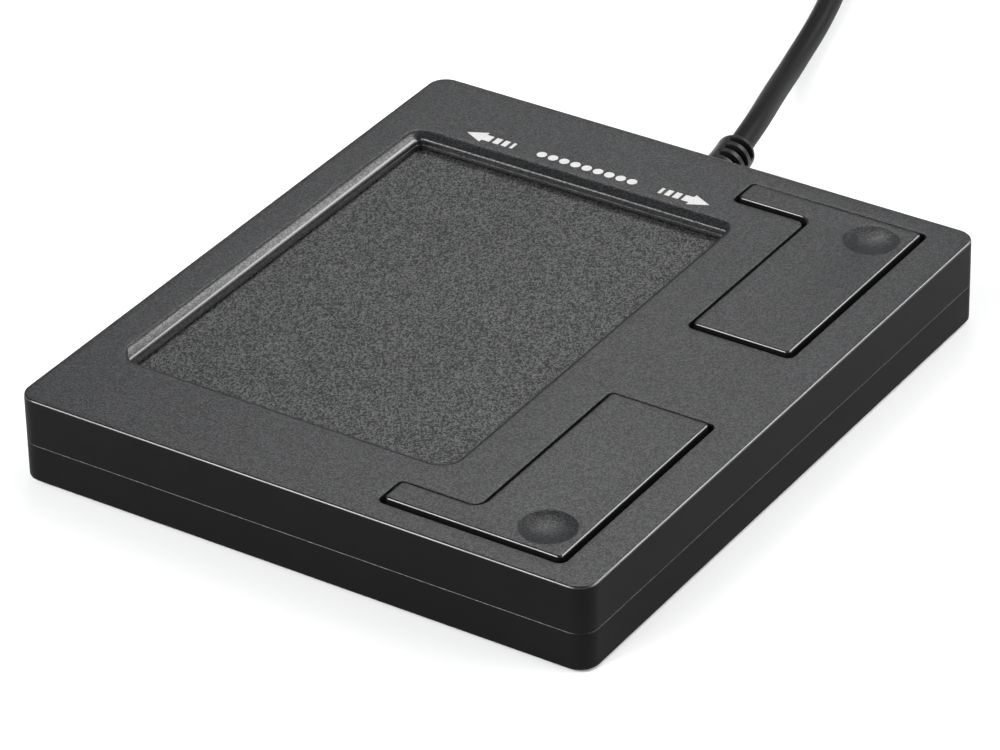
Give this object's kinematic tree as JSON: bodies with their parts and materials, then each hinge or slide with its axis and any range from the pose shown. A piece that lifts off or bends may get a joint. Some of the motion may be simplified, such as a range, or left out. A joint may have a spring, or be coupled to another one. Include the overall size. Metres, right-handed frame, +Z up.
{
  "type": "trackpad",
  "caption": "Low corded desk trackpad with a recessed grained touch surface, hinged dimpled buttons along the near edge, and a side cord with its plug stored as a tied coil.",
  "frame": {"origin": "on the desk, under the middle of the case", "axes": "+X to the user's right, +Y away from the user, +Z up"},
  "size_m": [0.2257, 0.075, 0.0151],
  "materials": {
    "case_plastic": "fine-grained dark moulding",
    "pad_film": "coarse-grained dark film",
    "foot_rubber": "matt black",
    "cord_rubber": "satin black",
    "screw_steel": "bright zinc",
    "sheet_steel": "bright sheet",
    "circuit_board": "green laminate",
    "chip_black": "black moulding",
    "ceramic_tan": "fired ceramic",
    "connector_cream": "cream moulding",
    "ribbon_white": "satin insulation",
    "tape_clear": "adhesive",
    "foam_grey": "soft foam",
    "contact_gold": "gold plated"
  },
  "bodies": {
    "base": {"top_cover": "case_plastic", "bottom_cover": "case_plastic", "case_screws": "screw_steel", "rubber_feet": "foot_rubber", "touch_overlay": "pad_film", "sensor_board": "circuit_board", "tape_frame": "tape_clear", "foam_pads": "foam_grey", "touch_controller": "chip_black", "sensor_capacitors": "ceramic_tan", "sensor_socket": "connector_cream", "flat_cable": "ribbon_white", "main_board": "circuit_board", "board_screws": "screw_steel", "usb_controller": "chip_black", "crystal": "sheet_steel", "board_capacitors": "ceramic_tan", "board_socket": "connector_cream", "cable_header": "connector_cream", "cable_plug": "connector_cream", "cable_wires": "ribbon_white", "inner_cord": "cord_rubber", "left_switch_body": "chip_black", "right_switch_body": "chip_black", "left_switch_cover": "sheet_steel", "right_switch_cover": "sheet_steel", "left_switch_dome": "sheet_steel", "right_switch_dome": "sheet_steel", "switch_terminals": "sheet_steel", "strain_relief": "cord_rubber", "cord_lead": "cord_rubber", "cord_coil": "cord_rubber", "cord_tail": "cord_rubber", "cord_tie": "cord_rubber", "plug_grip": "cord_rubber", "plug_shell": "sheet_steel", "plug_insulator": "connector_cream", "plug_contacts": "contact_gold"},
    "left_button": {"left_button": "case_plastic"},
    "right_button": {"right_button": "case_plastic"},
    "left_plunger": {"left_plunger": "connector_cream"},
    "right_plunger": {"right_plunger": "connector_cream"}
  },
  "joints": [
    {"name": "left_button_press", "type": "hinge", "parent": "base", "child": "left_button", "pos_m": [-0.01, -0.0257, 0.00648], "axis": [0, -1, 0], "range_deg": [0, 0.7], "stiffness_Nm_per_rad": 2.5, "springref_deg": -0.23},
    {"name": "left_plunger_travel", "type": "slide", "parent": "base", "child": "left_plunger", "axis": [0, 0, -1], "range_m": [0, 0.00031], "deforming": ["left_switch_dome"]},
    {"name": "right_button_press", "type": "hinge", "parent": "base", "child": "right_button", "pos_m": [0.01, -0.0257, 0.00648], "axis": [0, 1, 0], "range_deg": [0, 0.7], "stiffness_Nm_per_rad": 2.5, "springref_deg": -0.23},
    {"name": "right_plunger_travel", "type": "slide", "parent": "base", "child": "right_plunger", "axis": [0, 0, -1], "range_m": [0, 0.00031], "deforming": ["right_switch_dome"]}
  ],
  "couplings": [
    {"joint": "left_plunger_travel", "follows": "left_button_press", "m_per_rad": 0.025},
    {"joint": "right_plunger_travel", "follows": "right_button_press", "m_per_rad": 0.025}
  ]
}
